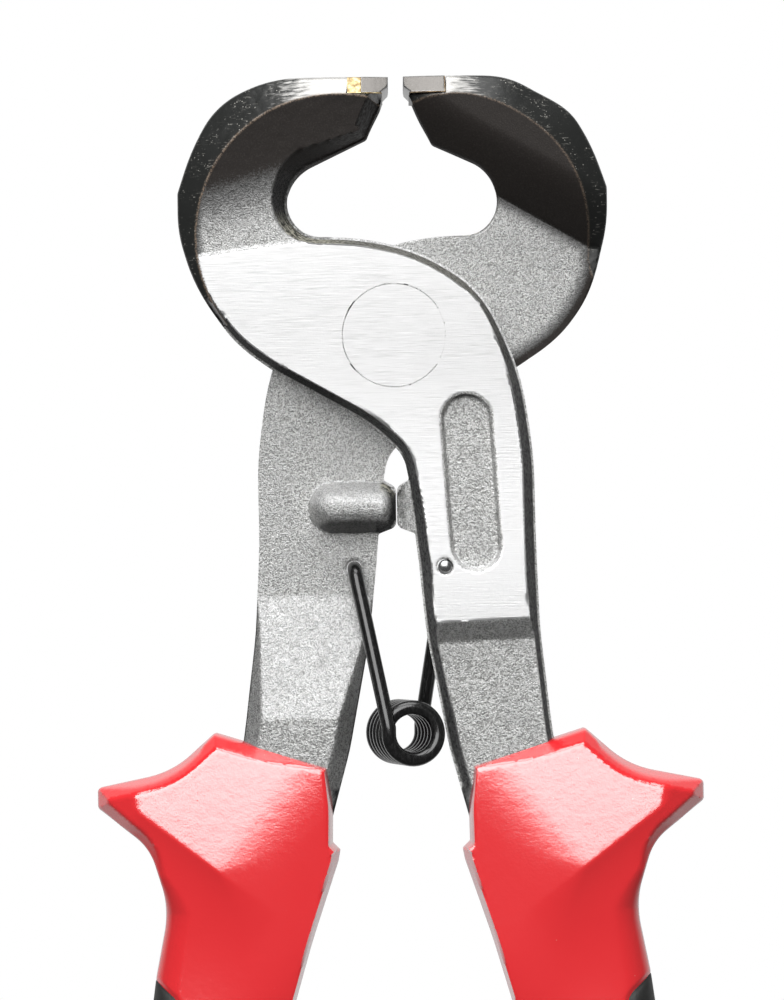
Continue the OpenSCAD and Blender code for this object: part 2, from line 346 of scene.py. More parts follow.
def read_off(table, place):
    """Value at a place, between the pairs of place and value in a table."""
    places, values = zip(*table)
    return np.interp(place, places, values)


def soft_min(a, b, radius):
    """Lesser of two values, blended where they differ by less than radius."""
    h = np.clip(0.5 + 0.5 * (b - a) / radius, 0, 1)
    return b + (a - b) * h - radius * h * (1 - h)


def soft_max(a, b, radius):
    """Greater of two values, blended in the same way."""
    return -soft_min(-a, -b, radius)


def round_over(distance, radius):
    """Drop of a surface towards an edge that has this radius."""
    left = np.clip(radius - distance, 0, radius)
    return radius - np.sqrt(np.maximum(radius ** 2 - left ** 2, 0))


def grain(x, z, size, seed):
    """Smooth random field between -0.5 and 0.5, with bumps of the given size."""
    gx, gz = x / size, z / size
    ix, iz = np.floor(gx), np.floor(gz)
    fx, fz = gx - ix, gz - iz
    fx, fz = fx * fx * (3 - 2 * fx), fz * fz * (3 - 2 * fz)

    def corner(dx, dz):
        value = np.sin((ix + dx) * 127.1 + (iz + dz) * 311.7 + seed * 74.7) * 43758.5453
        return value - np.floor(value)

    low = corner(0, 0) * (1 - fx) + corner(1, 0) * fx
    high = corner(0, 1) * (1 - fx) + corner(1, 1) * fx
    return low * (1 - fz) + high * fz - 0.5


def from_segment(points, start, end):
    """Distance of each point from the straight line between two places."""
    start, end = np.array(start), np.array(end)
    step = end - start
    t = np.clip(((points - start) @ step) / (step @ step), 0, 1)
    return np.linalg.norm(points - start - t[:, None] * step, axis=1)


# ---- sheet solids
def triangulated(loops, extra, gap):
    """Points and anticlockwise triangles that fill the loops, using the extra points that keep clear."""
    points = np.concatenate(loops)
    loop_count = len(points)
    edges = []
    first = 0
    for loop in loops:
        edges += [(first + i, first + (i + 1) % len(loop)) for i in range(len(loop))]
        first += len(loop)
    for group in extra:
        group = group[inside(group, loops)]
        tree = KDTree(len(points))
        for i, (x, z) in enumerate(points):
            tree.insert((x, z, 0), i)
        tree.balance()
        keep = [tree.find((x, z, 0))[2] > gap for x, z in group]
        points = np.concatenate([points, group[keep]])
    vertices, _, faces, origins, _, _ = delaunay_2d_cdt([Vector(p) for p in points], edges, [], 0, 1e-7)
    points = np.array([tuple(v) for v in vertices])
    faces = np.array(faces)
    a, b, c = points[faces[:, 0]], points[faces[:, 1]], points[faces[:, 2]]
    area = (b[:, 0] - a[:, 0]) * (c[:, 1] - a[:, 1]) - (b[:, 1] - a[:, 1]) * (c[:, 0] - a[:, 0])
    faces = np.where(area[:, None] < 0, faces[:, ::-1], faces)
    longest = np.maximum(np.linalg.norm(a - b, axis=1), np.linalg.norm(b - c, axis=1))
    longest = np.maximum(longest, np.linalg.norm(c - a, axis=1))
    # Three neighbours on a straight edge can span a sliver, which would spoil the wall there
    on_loop = np.array([min(group) < loop_count for group in origins])
    sliver = (np.abs(area) < 1e-4 * longest) & on_loop[faces].all(1)
    faces = faces[(np.abs(area) > 1e-9) & ~sliver & inside((a + b + c) / 3, loops)]
    used, faces = np.unique(faces, return_inverse=True)
    return points[used], faces.reshape(-1, 3)


def sheet_solid(name, points, faces, front, back, fields, rows):
    """Closed mesh between a front height and a back height over the same triangles.

    fields maps an attribute's name to its front and back values."""
    count = len(points)
    starts = faces.reshape(-1)
    ends = np.roll(faces, -1, 1).reshape(-1)
    rim = ~np.isin(starts * count + ends, ends * count + starts)
    starts, ends = starts[rim], ends[rim]
    rim_points = np.unique(starts)

    rings = []
    places = []
    values = {key: [] for key in fields}
    total = 0
    for row in range(rows + 1):
        share = row / rows
        used = np.arange(count) if row in (0, rows) else rim_points
        depth = -front[used] * (1 - share) + back[used] * share
        places.append(np.stack([points[used, 0], depth, points[used, 1]], 1))
        for key, (at_front, at_back) in fields.items():
            values[key].append(at_front[used] * (1 - share) + at_back[used] * share)
        ring = np.full(count, -1)
        ring[used] = total + np.arange(len(used))
        rings.append(ring)
        total += len(used)

    polygons = rings[0][faces].tolist() + rings[-1][faces[:, ::-1]].tolist()
    for near, far in zip(rings, rings[1:]):
        polygons += np.stack([near[starts], far[starts], far[ends], near[ends]], 1).tolist()
    mesh = bpy.data.meshes.new(name)
    mesh.from_pydata((np.concatenate(places) * MM).tolist(), [], polygons)
    mesh.validate()
    for key, parts in values.items():
        store(mesh, key, np.concatenate(parts))
    finish_mesh(mesh)
    return mesh


def store(mesh, name, values):
    """Keep one number for each vertex, which a material reads by this name."""
    values = np.ascontiguousarray(values, np.float32)
    mesh.attributes.new(name, "FLOAT", "POINT").data.foreach_set("value", values)


def finish_mesh(mesh, crease=38):
    """Smooth shading with sharp edges, and how steep and how far upward each vertex faces."""
    mesh.polygons.foreach_set("use_smooth", [True] * len(mesh.polygons))
    mesh.set_sharp_from_angle(angle=math.radians(crease))
    normals = np.zeros(len(mesh.vertices) * 3, np.float32)
    mesh.vertex_normals.foreach_get("vector", normals)
    normals = normals.reshape(-1, 3)
    store(mesh, "steep", 1 - np.abs(normals[:, 1]))
    store(mesh, "upward", normals[:, 2])


def pushed(mesh, pushes):
    """Copy of a mesh with soft pushes in front view: each has a place, a reach and a step."""
    mesh = mesh.copy()
    flat = np.empty(len(mesh.vertices) * 3, np.float32)
    mesh.vertices.foreach_get("co", flat)
    points = flat.reshape(-1, 3)
    moved = points.copy()
    for place, reach, step in pushes:
        gap = np.hypot(points[:, 0] / MM - place[0], points[:, 2] / MM - place[1])
        share = np.exp(-((gap / reach) ** 2))
        moved[:, 0] += share * step[0] * MM
        moved[:, 2] += share * step[1] * MM
    mesh.vertices.foreach_set("co", moved.reshape(-1))
    mesh.update()
    return mesh


def added(name, data):
    """New object in the scene for a mesh, a light or a camera."""
    thing = bpy.data.objects.new(name, data)
    bpy.context.scene.collection.objects.link(thing)
    return thing


def placed(name, mesh, material, turned=False):
    """Object for a mesh; a turned one stands half a turn round the tool's long axis."""
    if turned:
        mesh = mesh.copy()
        mesh.transform(HALF_TURN)
    mesh.name = name
    if not mesh.materials:
        mesh.materials.append(material)
    return added(name, mesh)


# ---- forging
def front_wall_width(x, z):
    """Width of the drafted wall at the front, for places on the outline."""
    faces_twin = x < read_off(LEVER_MIDDLE, z)
    width = np.where(faces_twin, read_off(INNER_WALL, z), read_off(OUTER_WALL, z))
    width = np.where((z > 5) & (x > -8), 1.2 + 0.35 * ramp(5, 9, z), width)
    in_eye = (z > 13.2) & (x < -3)
    under_nose = np.interp(x, [-14, -3.7], [2.2, 0.7])
    eye = np.where(z > 21, under_nose, 1.5 + 0.7 * ramp(-11.5, -14.5, x))
    on_nose = z > 29.3
    return np.where(on_nose, NOSE_WALL, np.where(in_eye, eye, width))


def forging_fields(points, main_outline):
    """Front and back heights of the forging at each point, with the fields that its material uses."""
    x, z = points[:, 0], points[:, 1]
    edge, foot = nearest_on(main_outline, points)
    s = np.maximum(edge, 0)
    r = np.hypot(x - JAW_CENTRE[0], z - JAW_CENTRE[1])
    foot_r = np.hypot(foot[:, 0] - JAW_CENTRE[0], foot[:, 1] - JAW_CENTRE[1])
    outer = ramp(21.0, 22.0, foot_r) * (foot[:, 1] > 2) * (foot[:, 0] < 0)
    on_jaw = (z > 2) & (x < 0)
    beyond = np.where(on_jaw, np.maximum(r - CREST_RADIUS, 0), 0)
    skin = 0.05 * grain(x, z, 0.9, 1) + 0.04 * grain(x, z, 0.45, 2)

    # Front: drafted wall, ground face, rise to the crest, ground band outside it, recess and lug
    width = front_wall_width(foot[:, 0], foot[:, 1])
    ground_top = 11.6 + 0.1375 * (x + 29.5)
    above = np.where((x < -12.5) | (z > 20), z - ground_top, -1.0)
    ground_end = GROUND_END + 0.04 * (x - 5)
    rise = np.clip((z - ground_end + GROUND_RAMP) / GROUND_RAMP, 0, 1)
    level = SHANK_LEVEL + (GROUND_LEVEL - SHANK_LEVEL) * rise
    level = level - (GROUND_LEVEL - SKIN_LEVEL) * ramp(0, 0.5, above)
    dusk = z - 22.2 - 0.29 * (x + 24)
    share = np.clip((dusk + 6) / 15, 0, 1)
    level = level + (CREST_HEIGHT - SKIN_LEVEL) * share ** 1.5 - BAND_SLOPE * beyond
    wall = EDGE_LEVEL + (GROUND_LEVEL - EDGE_LEVEL) * np.maximum(s - LAND, 0) / (width - LAND)
    front = soft_min(wall + 12 * outer, level, 0.3)
    recess = from_segment(points, *RECESS) - RECESS_HALF_WIDTH
    front = front - RECESS_DEPTH * ramp(0, -0.6, recess)
    hub = np.hypot(x, z)
    cone = GROUND_LEVEL - 0.3 - (HEAD_RADIUS - hub) * HEAD_DEPTH / HEAD_FLARE
    front = np.where(hub < HEAD_RADIUS - 0.01, cone, front)
    hole = np.hypot(x - SPRING_HOLE[0], z - SPRING_HOLE[1])
    front = front - 0.06 * ramp(1.3, SPRING_HOLE_RADIUS, hole)
    below_top = np.where((x < -12.5) | (z > 20), -above, 9.0)
    ground = np.minimum.reduce([
        edge - width * 0.97, below_top, z - ground_end, recess - 0.1, hole - 1.3,
    ])
    front = front + skin * ramp(0.1, -0.4, ground) * ramp(0, 0.5, s)
    lug_front = EDGE_LEVEL - 1.1 * ramp(2.0, LUG_START, x) ** 1.5
    past_edge = (edge < -0.05) & (x > 0) & (np.abs(z - LUG_Z) < 5)
    front = np.where(past_edge, lug_front, front)
    front = front - round_over(s, 0.35) * outer

    # Back: mating face, flare of the jaw, slope of the shank into the grip, and stop lug
    flare_distance = (x - FLARE_POINT[0]) * FLARE_NORMAL[0] + (z - FLARE_POINT[1]) * FLARE_NORMAL[1]
    share = np.clip(flare_distance / FLARE_RUN, 0, 1)
    flare = CREST_HEIGHT * (1 - (1 - share) ** 1.6)
    facet = SHANK_LEVEL * np.clip((-37.7 - z) / (56.0 - 37.7), 0, 1)
    back = MATING_LEVEL + flare - BAND_SLOPE * beyond
    back = soft_max(back, MATING_LEVEL + facet, 0.05)
    back = np.where(z < -30, soft_min(back, s * 1.65, 0.25), back)
    along = np.maximum(x - LUG_AXIS[1], 0) + np.maximum(LUG_AXIS[0] - x, 0) * 1.6
    lug = np.hypot(along, z - LUG_Z) / LUG_HALF_WIDTH
    lug = LUG_HEIGHT * np.maximum(1 - np.minimum(lug, 1) ** 2.4, 0) ** 0.75
    back = np.where(lug > 0, soft_max(back, lug, 0.5), back)
    back = back + skin * ramp(0, 0.5, s) * np.where(flare_distance > 0, 0.5, 1)
    back = back - round_over(s, 0.35) * np.maximum(outer, z > 15)
    back = back - 0.22 * ramp(1.5, SPRING_HOLE_RADIUS, hole)
    front = np.maximum(front, 0.25 - back)

    # Distances from the edges of each finish and of the painted shade on the flanks, for the paint; -20
    # is far away
    crest = np.where(on_jaw, r - CREST_RADIUS, -20.0)
    crest_front = np.where((above > -1.5) | (x < -15), crest, -20.0)
    lower_rim = np.where((foot[:, 0] < -10) & (foot[:, 1] < 15), (1.1 - s) * 4, -20.0)
    taper = 4 * ramp(12, 3, z)
    back_wall = np.where(z < -30, ramp(2.7, 2.4, s), ramp(0.7, 0.3, s))
    fields = {
        "wall_zone": (ramp(0.4, 0.1, s - width), back_wall),
        "ground_edge": (ground, np.full(len(x), -5.0)),
        "crest_edge": (crest_front, crest - taper),
        # Edge of the painted shade: the rise to the crest at the front, and the flare, the crest and the
        # lower rim at the back, are painted dark as shade where they face away from the light
        "flank_shade_edge": (
            np.maximum(np.where(above > -0.5, dusk, -9.0), crest_front * 6 + 1),
            np.maximum.reduce([flare_distance * 4, (crest - taper) * 4, lower_rim]),
        ),
        "from_tip": (-x, -x),
        "rear_side": (np.zeros(len(x)), np.ones(len(x))),
    }
    return front, back, fields


def fine_above(limit, fine, coarse):
    """Spacing that is fine where the part shows and coarse inside the grips."""
    return lambda place: fine if place[1] > limit else coarse


def forging_mesh():
    """Mesh of a lever, with lines of points along every edge of its surface."""
    spacing = fine_above(GRIP_TOP, 0.3, 2.0)
    corners = JAW_OUTSIDE + LUG_END + SHANK
    outline = subdivided(rounded(corners), spacing)
    # The same outline without its lug and its tip seat, for the walls and edges
    tip_end = [(-2.05, 34.2, 0), (-TIP_GAP / 2, TIP_HEIGHT, 0)]
    main = subdivided(rounded(JAW_OUTSIDE + [(2.6, -28, 30)] + SHANK[:-3] + tip_end), spacing)
    bore = circle((0, 0), RIVET_RADIUS, 0.5)[::-1]
    hole = circle(SPRING_HOLE, SPRING_HOLE_RADIUS, 0.2)[::-1]
    crest_offsets = (-0.9, -0.5, -0.22, 0, 0.22, 0.5, 0.9)
    arc = np.concatenate([circle(JAW_CENTRE, CREST_RADIUS + d, 0.25) for d in crest_offsets])
    flare = []
    across = np.arange(-24, 24, 0.25)
    for offset in (-0.5, -0.2, 0, 0.2, 0.5, 0.9, 1.3):
        flare.append(np.stack([
            FLARE_POINT[0] + FLARE_NORMAL[0] * offset + FLARE_NORMAL[1] * across,
            FLARE_POINT[1] + FLARE_NORMAL[1] * offset - FLARE_NORMAL[0] * across,
        ], 1))
    recess_rows = []
    axis = np.array(RECESS)
    unit = (axis[1] - axis[0]) / np.linalg.norm(axis[1] - axis[0])
    aside = np.array([-unit[1], unit[0]])
    angles = np.radians(np.arange(-90, 91, 5))
    half_circle = np.outer(np.cos(angles), unit) + np.outer(np.sin(angles), aside)
    for half in (3.9, 3.7, 3.5, 3.3, 3.1, 2.9):
        row = np.concatenate([axis[1] + half * half_circle, axis[0] - half * half_circle])
        recess_rows.append(subdivided(row, lambda place: 0.3))
    head = [circle((0, 0), HEAD_RADIUS + d, 0.3) for d in (-0.3, -0.04, 0, 0.25)]
    hole_rows = [circle(SPRING_HOLE, SPRING_HOLE_RADIUS + d, 0.22) for d in (0.15, 0.35, 0.6)]
    steps = [0.1, 0.25, 0.45, 0.7, 0.95, 1.2, 1.45, 1.7, 2.0, 2.3, 2.7]
    visible = outline[outline[:, 1] > GRIP_TOP - 2]
    low, high = visible.min(0), visible.max(0)
    fill = hexagonal((low[0], GRIP_TOP), high, 0.36)
    coarse = hexagonal((0, -150), (36, GRIP_TOP), 2.2)
    near_rails = rails(outline, steps)
    near_rails = near_rails[near_rails[:, 1] > GRIP_TOP]
    extra = [
        arc[arc[:, 1] > 3],
        np.concatenate(flare),
        np.concatenate(recess_rows),
        np.concatenate(head + hole_rows),
        near_rails,
        fill,
        coarse,
    ]
    points, faces = triangulated([outline, bore, hole], extra, 0.13)
    front, back, fields = forging_fields(points, main)
    return sheet_solid("forging", points, faces, front, back, fields, rows=6)


# ---- tips and braze
def band_height(points):
    """Height of the jaw's outer band, which the tips and their braze are ground flush with."""
    r = np.hypot(points[:, 0] - JAW_CENTRE[0], points[:, 1] - JAW_CENTRE[1])
    return CREST_HEIGHT - BAND_SLOPE * np.maximum(r - CREST_RADIUS, 0)


def small_solid(name, corners, height, bevel, spacing=0.16):
    """Sheet solid of a small part with the same height on both sides and bevelled edges."""
    outline = subdivided(rounded(corners), lambda place: spacing)
    low, high = outline.min(0), outline.max(0)
    extra = [rails(outline, [0.05, 0.12, 0.22]), hexagonal(low, high, spacing)]
    points, faces = triangulated([outline], extra, 0.04)
    edge, _ = nearest_on(outline, points)
    level = height(points) - round_over(edge, bevel)
    level = level + 0.02 * grain(points[:, 0], points[:, 1], 0.5, 5)
    side = {"edge_distance": (edge, edge)}
    return sheet_solid(name, points, faces, level, level, side, rows=8)


def carbide_mesh(bite, heel):
    """Tip from its biting end to its heel, both given as x."""
    floor = SEAT_FLOOR + 0.15
    return small_solid("carbide", [
        (bite, TIP_HEIGHT, 0.08),
        (heel, TIP_HEIGHT, 0.08),
        (heel, floor, 0.12),
        (bite - 1.2, floor, 0.2),
        (bite - 0.1, 36.5, 0.15),
        (bite, 37.0, 0.1),
    ], lambda points: band_height(points) + 0.06, 0.14)


def braze_mesh(bite, heel, seat_end):
    """Filler under a tip and behind its heel, as far as the seat's end."""
    def height(points):
        return band_height(points) + 0.02 + 0.1 * grain(points[:, 0], points[:, 1], 0.7, 9)

    return small_solid("braze", [
        (heel + 0.04, TIP_HEIGHT - 0.05, 0.05),
        (seat_end, TIP_HEIGHT - 0.05, 0.1),
        (seat_end, SEAT_FLOOR, 0.05),
        (bite - 0.7, SEAT_FLOOR, 0.05),
        (bite - 1.1, SEAT_FLOOR + 0.17, 0.03),
        (heel + 0.04, SEAT_FLOOR + 0.17, 0.05),
    ], height, 0.1, 0.1)


# ---- grips
def grip_height(points, outline):
    """Half the depth of a grip at each point: a raised thumb facet, a guard and a rounded handle."""
    x, z = points[:, 0], points[:, 1]
    s, foot = nearest_on(outline, points)
    s = np.maximum(s, 0)
    fx, fz = foot[:, 0], foot[:, 1]
    facet = FACET_LEVEL - FACET_TILT * (z - FACET_POINT[1])
    outer_fall = (x - FACET_POINT[0]) * 0.60 - (z - FACET_POINT[1]) * 0.80
    inner_fall = -(x - FACET_POINT[0]) * 0.794 - (z - FACET_POINT[1]) * 0.608
    fall = np.maximum(outer_fall, 0)
    drop = 0.17 * outer_fall + 1.1 * (1 - np.exp(-0.27 * fall))
    level = soft_min(facet, facet - drop, np.interp(inner_fall, [-3, 7], [0.1, 3.0]))
    level = soft_min(level, facet - 0.185 * inner_fall, 0.9)
    guard = 9.2 - 0.62 * (x - 36.6)
    level = soft_min(level, guard, 0.5)
    middle = np.interp(z, [-172, -150, -120, -97, -84], [32, 33.3, 31, 26, 23])
    half = np.interp(z, [-172, -150, -120, -97, -84], [6, 8.5, 9.2, 10.2, 11.5])
    handle = np.interp(z, [-172, -160, -130, -105], [8.4, 9.0, 9.2, 8.8])
    handle = handle - 1.7 * np.clip(np.abs((x - middle) / half), 0, 1.4) ** 2.5
    level = level + (handle - level) * ramp(-86, -112, z)

    horn_top = ramp(28, 30, fx) * (fz > -66.6)
    inner = (fz < -75) & (fx < middle)
    steepness = np.where(inner, np.interp(fz, [-97, -76], [14, 5.4]), 14)
    steepness = steepness * (1 - horn_top) + 5.5 * horn_top
    from_corner = ramp(11, 22, fx)
    bevel_width = np.interp(z, [-97, -80, -72], [0.8, 0.8, 1.5]) * (0.35 + 0.65 * from_corner)
    bevel_drop = np.interp(z, [-97, -80, -72], [0.35, 0.4, 2.3]) * (0.1 + 0.9 * from_corner)
    bevel = level - bevel_drop * (1 - np.clip((s - 0.4) / bevel_width, -1, 1))
    side = 1.2 + steepness * s
    height = soft_min(soft_min(level, bevel, 0.25), side, 0.3)
    rounding = np.interp(z, [-172, -160, -110, -96], [7, 6, 5, 0.01])
    outer_rounding = np.interp(z, [-172, -160, -110, -84, -74], [7, 6, 5, 4.6, 0.01])
    rounding = np.where(fx > middle, outer_rounding, rounding)
    round_level = level - np.where(rounding > 0.02, round_over(s, rounding) * 0.97, 0)
    height = soft_min(height, round_level, 0.05)
    return np.maximum(height, 0.5)


def grip_meshes():
    """Meshes of a right grip's red core and black pad, with a groove along their seam."""
    outline = rounded(CORE_SIDE[1:] + PAD_SIDE[1:])
    spacing = fine_above(-101, 0.3, 1.0)
    outline_fine = subdivided(outline, lambda place: 0.6)
    shapes = {
        "core": rounded(CORE_SIDE + PAD_CURVE[::-1]),
        "pad": rounded(PAD_SIDE + PAD_CURVE),
    }
    seam_line = subdivided(shapes["pad"], lambda place: 0.5)
    meshes = {}
    crease = []
    for offset in (-0.5, -0.25, 0, 0.25, 0.5):
        line = np.array([FACET_POINT, (39, -68.4)]) + np.array([0.6, -0.8]) * offset
        crease.append(subdivided(line, lambda place: 0.3, closed=False))
    for key, shape in shapes.items():
        loop = subdivided(shape, spacing)
        low, high = loop.min(0), loop.max(0)
        near = rails(loop, [0.08, 0.2, 0.35, 0.55, 0.8, 1.1, 1.4, 1.75, 2.1, 2.5])
        fill = hexagonal((low[0], -101), high, 0.45)
        coarse = hexagonal(low, (high[0], -101), 1.0)
        extra = [np.concatenate(crease), near, fill, coarse]
        points, faces = triangulated([loop], extra, 0.14)
        height = grip_height(points, outline_fine)
        seam, _ = nearest_on(seam_line, points)
        groove = ramp(0.7, 0.0, np.abs(seam))
        if key == "core":
            height = height - 0.35 * groove
        else:
            swell = 0.35 * ramp(0, 1.5, seam) - 0.25 * groove
            height = height + swell + 0.02 * grain(points[:, 0], points[:, 1], 0.8, 3)
        peel = 0.012 * grain(points[:, 0], points[:, 1], 0.7, 7) if key == "core" else 0
        height = np.maximum(height + peel, 0.4)
        meshes[key] = sheet_solid(key, points, faces, height, height, {}, rows=6)
    return meshes


# ---- spring
WIRE_RADIUS = 1.05
COIL_RADIUS = 3.8
COIL_TURNS = 5.5
COIL_PITCH = 2.12
COIL_TILT = math.radians(13)
COIL_CENTRE = Vector((0.8, 0, -58.2))
LEG_STANDOFF = 1.7


def coil_point(turn):
    """Place on the coil's middle line after this many turns, counted from its front end."""
    angle = math.pi + 2 * math.pi * turn
    x = COIL_RADIUS * math.cos(angle)
    y = COIL_PITCH * COIL_TURNS * (turn / COIL_TURNS - 0.5)
    return COIL_CENTRE + Vector((
        x * math.cos(COIL_TILT) - y * math.sin(COIL_TILT),
        x * math.sin(COIL_TILT) + y * math.cos(COIL_TILT),
        COIL_RADIUS * math.sin(angle),
    ))


def leg_points(foot, side):
    """Middle line of a leg, from the coil up to its hook in the lever; side is -1 at the front."""
    corner = Vector((side * SPRING_HOLE[0] + 0.35, side * LEG_STANDOFF, SPRING_HOLE[1] - 0.1))
    down = (foot - corner).normalized()
    into = Vector((0, -side, 0))
    bend = 1.9
    start = corner + down * bend
    points = [foot.lerp(start, k / 24) for k in range(24)]
    for k in range(9):
        t = k / 8
        points.append((1 - t) ** 2 * start + 2 * t * (1 - t) * corner + t * t * (corner + into * bend))
    points.append(corner + into * (LEG_STANDOFF + GROUND_LEVEL - 0.35))
    return points


def spring_mesh(sides=20, turn_steps=48):
    """Round wire swept along the spring, and the share of the rear lever's turn that each point takes."""
    steps = round(COIL_TURNS * turn_steps)
    coil = [coil_point(k / turn_steps) for k in range(steps + 1)]
    lift = Vector((0, 0, 0.9))
    front_leg = leg_points(coil[0] + lift, -1)
    rear_leg = leg_points(coil[-1] + lift, 1)
    path = front_leg[::-1] + coil + rear_leg
    # The front leg hooks into the rear lever (share 1) and the rear leg into the front lever (share 0)
    shares = [0.5 + 0.5 * k / (len(front_leg) - 10) for k in range(len(front_leg))][::-1]
    shares += [0.5] * len(coil)
    shares += [0.5 - 0.5 * k / (len(rear_leg) - 10) for k in range(len(rear_leg))]
    last = len(path) - 1
    directions = [(path[min(i + 1, last)] - path[max(i - 1, 0)]).normalized() for i in range(last + 1)]
    arm = directions[0].orthogonal().normalized()
    places, faces, weights = [], [], []

    def ring(centre, radius, share, direction):
        nonlocal arm
        arm = (arm - arm.dot(direction) * direction).normalized()
        other = direction.cross(arm)
        for k in range(sides):
            angle = 2 * math.pi * k / sides
            places.append((centre + radius * (math.cos(angle) * arm + math.sin(angle) * other)) * MM)
            weights.append(min(1.0, max(0.0, share)))

    bevel = 0.18
    ring(path[0], WIRE_RADIUS - bevel, shares[0], directions[0])
    for i in range(last + 1):
        shift = bevel if i == 0 else -bevel if i == last else 0
        ring(path[i] + directions[i] * shift, WIRE_RADIUS, shares[i], directions[i])
    ring(path[last], WIRE_RADIUS - bevel, shares[last], directions[last])
    rows = len(places) // sides
    for i in range(rows - 1):
        for k in range(sides):
            n = (k + 1) % sides
            faces.append((i * sides + k, i * sides + n, (i + 1) * sides + n, (i + 1) * sides + k))
    faces.append(tuple(range(sides - 1, -1, -1)))
    faces.append(tuple(range((rows - 1) * sides, rows * sides)))
    mesh = bpy.data.meshes.new("spring")
    mesh.from_pydata([tuple(p) for p in places], [], faces)
    mesh.validate()
    cut = np.zeros(len(places))
    cut[:2 * sides] = 1
    cut[-2 * sides:] = 1
    store(mesh, "cut_end", cut)
    finish_mesh(mesh, 50)
    return mesh, weights


# ---- materials
class Paint:
    """Short calls for building one material's nodes."""

    def __init__(self, name):
        self.material = bpy.data.materials.new(name)
        self.material.use_nodes = True
        self.nodes = self.material.node_tree.nodes
        self.links = self.material.node_tree.links
        self.surface = self.nodes["Principled BSDF"]
        self.place = self.node("ShaderNodeTexCoord").outputs["Object"]

    def node(self, kind, settings=None, **sockets):
        node = self.nodes.new(kind)
        for key, value in (settings or {}).items():
            setattr(node, key, value)
        for key, value in sockets.items():
            self.feed(node.inputs[key.replace("_", " ")], value)
        return node

    def feed(self, socket, value):
        if isinstance(value, bpy.types.NodeSocket):
            self.links.new(value, socket)
        else:
            socket.default_value = value

    def math(self, operation, a, b=0.0, clamp=False):
        node = self.nodes.new("ShaderNodeMath")
        node.operation = operation
        node.use_clamp = clamp
        self.feed(node.inputs[0], a)
        self.feed(node.inputs[1], b)
        return node.outputs[0]

    def times(self, first, *others):
        """Product of two or more values."""
        for other in others:
            first = self.math("MULTIPLY", first, other)
        return first

    def ragged(self, noise, size):
        """A noise moved to lie around 0, for wandering edges."""
        return self.times(self.math("SUBTRACT", noise, 0.5), size)

    def attribute(self, name):
        return self.node("ShaderNodeAttribute", {"attribute_name": name}).outputs["Fac"]

    def noise(self, size, detail=3.0, stretch=(1, 1, 1), rough=0.55):
        """Noise between 0 and 1 with features of about the given size in millimetres."""
        scale = self.node("ShaderNodeVectorMath", {"operation": "MULTIPLY"})
        self.feed(scale.inputs[0], self.place)
        scale.inputs[1].default_value = [1 / (size * MM * share) for share in stretch]
        node = self.node("ShaderNodeTexNoise", Vector=scale.outputs[0], Scale=1.0, Detail=detail,
                         Roughness=rough)
        return node.outputs["Fac"]

    def spots(self, size, radius):
        """Scattered round specks: 1 at a speck's middle, 0 beyond the given share of a cell."""
        scale = self.node("ShaderNodeVectorMath", {"operation": "SCALE"}, Scale=1 / (size * MM))
        self.feed(scale.inputs[0], self.place)
        node = self.node("ShaderNodeTexVoronoi", Vector=scale.outputs[0], Scale=1.0)
        return self.between(node.outputs["Distance"], radius, 0.0)

    def between(self, value, low, high):
        """0 at low and 1 at high, smooth in between."""
        node = self.node("ShaderNodeMapRange", {"interpolation_type": "SMOOTHSTEP"})
        for socket, number in zip(node.inputs[:5], (value, low, high, 0.0, 1.0)):
            self.feed(socket, number)
        return node.outputs[0]

    def mix(self, share, a, b):
        """Blend of two numbers."""
        node = self.node("ShaderNodeMix", {"data_type": "FLOAT"})
        for index, value in ((0, share), (2, a), (3, b)):
            self.feed(node.inputs[index], value)
        return node.outputs[0]

    def tint(self, share, a, b):
        """Blend of two colours."""
        node = self.node("ShaderNodeMix", {"data_type": "RGBA"})
        self.feed(node.inputs[0], share)
        for index, value in ((6, a), (7, b)):
            if not isinstance(value, bpy.types.NodeSocket):
                value = (*value, 1)
            self.feed(node.inputs[index], value)
        return node.outputs[2]

    def bump(self, height, depth, strength=1.0, normal=None):
        """Normal for a height from 0 to 1 that stands for depth in millimetres."""
        node = self.node("ShaderNodeBump", Height=height, Distance=depth * MM, Strength=strength)
        if normal is not None:
            self.feed(node.inputs["Normal"], normal)
        return node.outputs[0]

    def done(self, colour, roughness, metallic=0.0, normal=None, **more):
        values = {"Base Color": colour, "Roughness": roughness, "Metallic": metallic}
        values.update({key.replace("_", " "): value for key, value in more.items()})
        for key, value in values.items():
            if key == "Base Color" and not isinstance(value, bpy.types.NodeSocket):
                value = (*value, 1)
            self.feed(self.surface.inputs[key], value)
        if normal is not None:
            self.feed(self.surface.inputs["Normal"], normal)
        return self.material


def grey(value):
    return (value, value, value)


def brushed(p, streak):
    """Colour of a ground face: fine level streaks, lighter towards the shank."""
    wide_streak = p.noise(0.7, 2.0, (12, 1, 1))
    ground = p.tint(p.between(streak, 0.3, 0.7), grey(0.41), grey(0.55))
    ground = p.tint(p.between(wide_streak, 0.35, 0.7), ground, grey(0.5))
    parts = p.node("ShaderNodeSeparateXYZ", Vector=p.place)
    low = p.between(parts.outputs["Z"], 4 * MM, -36 * MM)
    ground = p.tint(p.times(low, 0.75), ground, grey(0.86))
    # The rivet is ground flush, so only faint arcs of its rim show
    squares = [p.math("POWER", p.math("ABSOLUTE", parts.outputs[key]), 2.0) for key in ("X", "Z")]
    off_rim = p.math("SUBTRACT", p.math("SQRT", p.math("ADD", *squares)), RIM_RADIUS * MM)
    rim = p.between(p.math("ABSOLUTE", off_rim), 0.12 * MM, 0.04 * MM)
    seen = p.between(p.noise(4.0, 2.0), 0.47, 0.62)
    return p.tint(p.times(rim, seen, 0.28), ground, grey(0.2))


